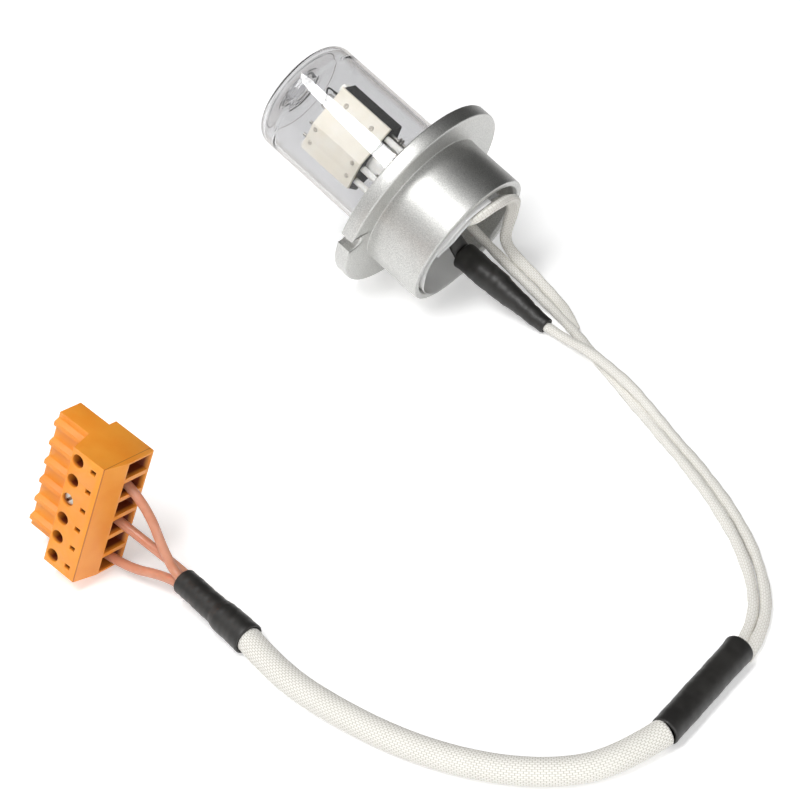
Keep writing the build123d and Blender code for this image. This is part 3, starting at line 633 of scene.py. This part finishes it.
def melted(r, z, around):
    """The inner wall with its relief, which is three things added.

    At the tip an uneven mound, a bell of the radius; about it rings, a sine of the radius within a bell,
    which wander with the angle; and at the shoulder a fold inwards, a bell of the height.
    """
    on_dome = np.clip((z - 34.0) / 2.0, 0, 1)
    mound = 1.3 * np.exp(-(r / 2.9) ** 2) * (1 + 0.3 * np.sin(around + 0.6) * r / 3)
    rings = 0.2 * np.sin(TAU * r / 1.5 + 1.4 * np.sin(around) + 0.8 * np.sin(2 * around + 1))
    rings *= np.exp(-((r - 4.2) / 2.4) ** 2)
    fold = 0.35 * np.exp(-((z - 33.0) / 0.45) ** 2) * (1 + 0.5 * np.sin(around * 2 + 2))
    return r - fold * (z < 34.5), z - on_dome * (mound + rings)


def glass_bulb():
    """Outer wall downwards and inner wall upwards, both carried round the axis: x = r cos a, y = r sin a."""
    around = np.linspace(0, TAU, 256, endpoint=False)[None]
    cap, shoulder, wall = bulb_wall(0.0, 33.0, 30)
    outer = np.concatenate([cap, shoulder[1:], wall])
    cap, shoulder, wall = bulb_wall(BULB_WALL, 33.4, 70)
    inner = np.concatenate([wall[::-1], shoulder[::-1][1:], cap[::-1]])
    inner_r, inner_z = melted(inner[:, :1], inner[:, 1:], around)
    r = np.concatenate([outer[:, :1] + 0 * around, inner_r])
    z = np.concatenate([outer[:, 1:] + 0 * around, inner_z])
    rows = np.stack([r * np.cos(around), r * np.sin(around), z], axis=-1)
    return outward(grid("glass_bulb", rows @ LAMP_AXES + LAMP_ORIGIN, close_rows=True))


keep(glass_bulb(), BULB, "bulb_glass", "glass_envelope")

# Rivet heads in the cover's holes: low domes with a dimple, square to the two faces of its shallow roof
RIDGE_X, RIDGE_Y, ROOF_RISE, COVER_HALF = -7.67, 1.5, 2.62, 9.05
RIVETS = [(-6.4, 23.5), (-6.4, 15.0), (2.65, 25.9), (6.45, 25.6), (2.65, 13.2), (6.45, 13.0)]
RIVET_PROFILE = [(0.02, 0.02), (0.22, 0.05), (0.34, 0.16), (0.5, 0.16), (0.58, 0.05), (0.58, -0.6)]
heads = []
for across, height in RIVETS:
    side = -1 if across < RIDGE_Y else 1
    run = COVER_HALF - side * RIDGE_Y
    slope = math.atan2(ROOF_RISE, run)
    depth = RIDGE_X + ROOF_RISE * abs(across - RIDGE_Y) / run
    out = np.array([-math.cos(slope), side * math.sin(slope), 0.0])
    axes = np.array([[0, 0, 1], np.cross(out, [0, 0, 1]), out])
    heads.append(turned_rows(RIVET_PROFILE, 24, (depth, across, height), axes))
rivets = joined("cover_rivets", [rows @ HOUSING_AXES + LAMP_ORIGIN for rows in heads])
keep(rivets, RIVET_HEADS, "wire")

# Ceramic tubes on the rods below the housing
ROD_PLACES = [(-3.5, -6.4), (-5.0, 2.65), (-3.9, 6.45), (-1.8, 0.0)]
ROD_TUBE = [(0.5, -3.6), (0.78, -3.6), (0.82, -3.5), (0.82, 11.0), (0.78, 11.1), (0.5, 11.1)]
rod_tubes = joined("rod_insulators", [
    turned_rows(ROD_TUBE, 20, (x, y, 0), np.eye(3)) @ HOUSING_AXES + LAMP_ORIGIN for x, y in ROD_PLACES])
keep(rod_tubes, WHITE_CERAMIC, "ceramic")

# Wires: the coated cathode coil, a curl round its return rod, and a narrow triangle on the housing's top edge
WIRE_R, COIL_WIRE_R = 0.22, 0.2
LOOP = [(-5.9, -3.7, 26.9), (-5.85, -3.8, 28.4), (-5.2, -6.3, 30.2), (-5.1, -6.6, 30.3),
        (-5.1, -6.8, 30.0), (-5.2, -7.0, 28.6), (-5.2, -7.0, 26.9)]


def helix(turns, radius, low, high, centre):
    """Points round an axis: x = r cos a, y = r sin a, z in step with the angle."""
    a = np.linspace(0, TAU * turns, int(turns * 24) + 1)
    local = np.column_stack([centre[0] + radius * np.cos(a), centre[1] + radius * np.sin(a),
                             np.linspace(low, high, len(a))])
    return local @ HOUSING_AXES + LAMP_ORIGIN


coil = tube("cathode_coil", helix(9, 0.68, 16.3, 22.1, (0.8, -6.1)), COIL_WIRE_R, 10)
keep(coil, OXIDE_COAT, "coated_coil", "cathode")
curl = tube("wire_curl", helix(2.2, 0.95, 7.4, 9.0, (-1.5, -7.3)), WIRE_R, 12)
keep(curl, NICKEL_WIRE, "wire")
loop = np.array(LOOP) @ HOUSING_AXES + LAMP_ORIGIN
loop_path, _ = resampled(line_through(loop * MM), 0.2)
keep(tube("wire_loop", loop_path, WIRE_R, 12), DARK_SHEET, "wire")

# Clear film rolled into the cup: a thin sheet whose edge waves out of the mouth, with a loose inner flap
FILM_THICK = 0.12


def film_sheet(name, radius, first, last, low, high, wave):
    """Thin closed shell between two angles: its radius and its lower edge wave with sines of the angle."""
    a = np.radians(np.linspace(first, last, 120))
    share = np.linspace(0, 1, 14)[:, None]
    edge = low + wave * (np.sin(3.1 * a + 1) + 0.5 * np.sin(7.3 * a))
    z = edge + share * (high - edge)
    r = radius - wave * 0.5 * (1 - share) * (1 + np.sin(4.3 * a))
    outer, inner = (np.stack([(r - t) * np.cos(a), (r - t) * np.sin(a), z], axis=-1)
                    for t in (0.0, FILM_THICK))
    rows = np.concatenate([outer, inner[::-1]])
    obj = grid(name, rows @ LAMP_AXES + LAMP_ORIGIN, close_rows=True, close_columns=False)
    work = bmesh.new()
    work.from_mesh(obj.data)
    bmesh.ops.holes_fill(work, edges=[e for e in work.edges if e.is_boundary], sides=0)
    bmesh.ops.recalc_face_normals(work, faces=work.faces)
    work.to_mesh(obj.data)
    work.free()
    return obj


keep(film_sheet("rolled_film", 16.3, -120, 90, -20.4, -12.0, 0.3), FILM, "clear_film", "film_liner")
keep(film_sheet("film_flap", 14.2, 15, 118, -20.6, -14.0, 0.5), FILM, "clear_film")

# Leads: mesh tubes on their routes, with points this far apart
THIN_STEP, THICK_STEP = 0.4, 0.6
path_a, _ = resampled(line_through(SLEEVE_A), THIN_STEP)
path_b, _ = resampled(line_through(SLEEVE_B), THIN_STEP)
path_f, along_f = resampled(line_through(FOLDED_SLEEVE), THIN_STEP)
path_c, _ = resampled(line_through(BRAID), THICK_STEP)
round_v = np.linspace(0, TAU, 24, endpoint=False)[None]


def limp_radius(path, seed):
    """Half width of a limp sleeve: a little oval, with slow uneven swells along it, all sines."""
    s = np.linspace(0, len(path) * THIN_STEP, len(path))[:, None]
    phase = np.random.default_rng(seed).uniform(0, TAU, 3)
    return (THIN_R + 0.05 * np.sin(s / 2.3 + phase[0]) + 0.04 * np.sin(s / 0.9 + 2 * round_v + phase[1])
            + 0.05 * np.cos(2 * round_v + s / 9 + phase[2]))


# The folded sleeve is wide and flat inside the cup, and thins out where sleeve B covers its end
CUP_STRETCH, CUP_EASE, END_STRETCH = 36, 8, 7
thin_end = 1 - 0.6 * np.clip((along_f - along_f[-1] + END_STRETCH) / END_STRETCH, 0, 1)
in_cup = np.clip((CUP_STRETCH - along_f) / CUP_EASE, 0, 1)[:, None]
pressed = (1 + (0.22 + 0.2 * in_cup) * np.cos(2 * round_v + 0.6)) * (1 + 0.25 * in_cup)
folded_radius = limp_radius(path_f, 5) * thin_end[:, None] * pressed

sleeve_a = keep(tube("sleeve_a_braid", path_a, limp_radius(path_a, 3)), THIN_BRAID, "glass_braid", "sleeve_a")
sleeve_b = keep(tube("sleeve_b_braid", path_b, limp_radius(path_b, 4)), THIN_BRAID, "glass_braid", "sleeve_b")
folded = keep(tube("folded_sleeve", path_f, folded_radius), THIN_BRAID, "glass_braid")
main = keep(tube("main_braid", path_c, THICK_R, 40), THICK_BRAID, "glass_braid", "braided_sleeve")

# Shrink tubes: the long taper from the cup, the collar over both thin sleeves, and the stepped boot
taper = shrunk_tube("taper_tube", (22.41, 0.9, 11.1), (49.1, -1.2, 2.0),
                    [0, 0.45, 0.8, 1], [7.0, 6.5, 4.6, 3.9], 0.06, 1)
collar = shrunk_tube("collar_tube", (145.4, -65.6, 3.15), (146.34, -92.58, 3.15),
                     [0, 0.12, 1], [6.3, 6.0, 6.0], 0.025, 2)
boot = shrunk_tube("boot_tube", (66.7, -122.0, 3.5), (46.01, -119.28, 5.88),
                   [0, 0.38, 0.46, 1], [6.9, 6.6, 5.8, 5.6], 0.03, 6)
for shrunk, node in ((taper, "taper_sleeve"), (collar, "collar"), (boot, "boot")):
    keep(shrunk, SHRINK, "shrink", node)
for node, route in LEADS.items():
    path, _ = resampled(line_through(route), THIN_STEP)
    keep(tube(node + "_insulation", path, LEAD_R, 24), LEAD, "lead", node)

# Plug: the solid's own shape with its moulded edges rounded
plug = keep(bevelled_copy("plug_housing", "moulded_plug", 0.22), POLYAMIDE, "orange_plastic", "plug_housing")

# One clamp screw is turned out nearly to the screw face: a cylinder whose top is lowered along its slot
HEAD_R, HEAD_Y, SCREW_END_Y, SLOT_HALF, SLOT_DEEP = 1.35, 13.2, 8.95, 0.3, 0.7
rings = np.concatenate([np.linspace(0.02, HEAD_R - 0.05, 22), [HEAD_R, HEAD_R]])[:, None]
turn_round = np.linspace(0, TAU, 96, endpoint=False)[None]
across, along = rings * np.cos(turn_round), rings * np.sin(turn_round)
in_slot = np.abs(across * 0.8 + along * 0.6) < SLOT_HALF
head = HEAD_Y - SLOT_DEEP * in_slot - 0.06 * (rings > HEAD_R - 0.03)
head[-1] = SCREW_END_Y
screw_rows = np.stack([SCREW_X + across, head, 2.5 * PITCH + along], axis=-1)
raised_screw = joined("raised_clamp_screw", [screw_rows @ PLUG_AXES + PLUG_ORIGIN])
keep(raised_screw, ZINC, "zinc_steel", "clamp_screw_3")


# Floor, pale and plain; its own faint light towards camera, gloss and glass makes it white round its shadow
floor_mesh = bpy.data.meshes.new("floor")
floor_mesh.from_pydata([(-2, -2, 0), (2, -2, 0), (2, 2, 0), (-2, 2, 0)], [], [(0, 1, 2, 3)])
floor = placed("floor", floor_mesh)
paper, tree, shader = material("pale_paper_backdrop", {
    "Base Color": linear("#F6F6F6"), "Roughness": 0.9, "Specular IOR Level": 0.1,
    "Emission Color": linear("#FFFFFF")})
glow = maths(tree, "MULTIPLY", seen_by(tree, "Camera", "Glossy", "Transmission"), 0.38)
tree.links.new(glow, shader.inputs["Emission Strength"])
dress(floor, paper)

# Room: pale all round, darker towards the far right side, and plain white where the camera or glass sees it
DARK_SIDE = (-0.15, 0.93, 0.33)
world = bpy.data.worlds.new("studio")
bpy.context.scene.world = world
world.use_nodes = True
sky = world.node_tree
towards = add(sky, "ShaderNodeTexCoord").outputs["Generated"]
dark_side = add(sky, "ShaderNodeVectorMath", {"operation": "DOT_PRODUCT", 1: DARK_SIDE}, {0: towards})
walls = toned(sky, dark_side.outputs["Value"], [(0.1, "#FFFFFF"), (0.7, "#3C3C3C")])
room = sky.nodes["Background"]
room.inputs["Strength"].default_value = 0.6
sky.links.new(walls, room.inputs["Color"])
white = add(sky, "ShaderNodeBackground", {"Color": linear("#FFFFFF"), "Strength": 1.0})
either = add(sky, "ShaderNodeMixShader", links={
    0: seen_by(sky, "Camera", "Transmission"), 1: room.outputs[0], 2: white.outputs[0]})
sky.links.new(either.outputs[0], sky.nodes["World Output"].inputs["Surface"])


def soft_light(name, at, aim, size, power):
    """A rectangular soft box that stands at one point and looks at another; size is its two sides."""
    lamp = bpy.data.lights.new(name, "AREA")
    lamp.shape = "RECTANGLE"
    lamp.size, lamp.size_y = size
    lamp.energy = power
    obj = placed(name, lamp)
    obj.location = at
    obj.rotation_euler = (Vector(aim) - Vector(at)).to_track_quat("-Z", "Y").to_euler()


# The key box is long and narrow: it is the straight bright bar along the bulb
soft_light("key_soft_box", at=(0.076, -0.322, 0.646), aim=(0.03, -0.01, 0.02), size=(0.15, 0.38), power=2.6)
soft_light("side_soft_box", at=(-0.55, -0.35, 0.45), aim=(0.05, -0.05, 0.02), size=(0.4, 0.4), power=0.6)
soft_light("mouth_soft_box", at=(0.42, -0.22, 0.10), aim=(0.03, 0.0, 0.02), size=(0.3, 0.2), power=0.35)

# Camera: the photograph's viewing direction on the lamp, from a little further away
camera_data = bpy.data.cameras.new("camera")
camera = placed("camera", camera_data)
camera_data.sensor_width = 36.0
camera_data.lens = 93.23
camera_data.clip_start = 0.01
right = Vector((0.75906501, 0.64807946, -0.06175215))
down = Vector((0.36032912, -0.4972401, -0.78924978))
forward = Vector((-0.54220221, 0.57684079, -0.61095946))
turn = Matrix((right, -down, -forward)).transposed()
camera.matrix_world = Matrix.Translation(Vector((0.296432, -0.317056, 0.291742))) @ turn.to_4x4()
bpy.context.scene.camera = camera
bpy.context.scene.view_settings.view_transform = "Standard"
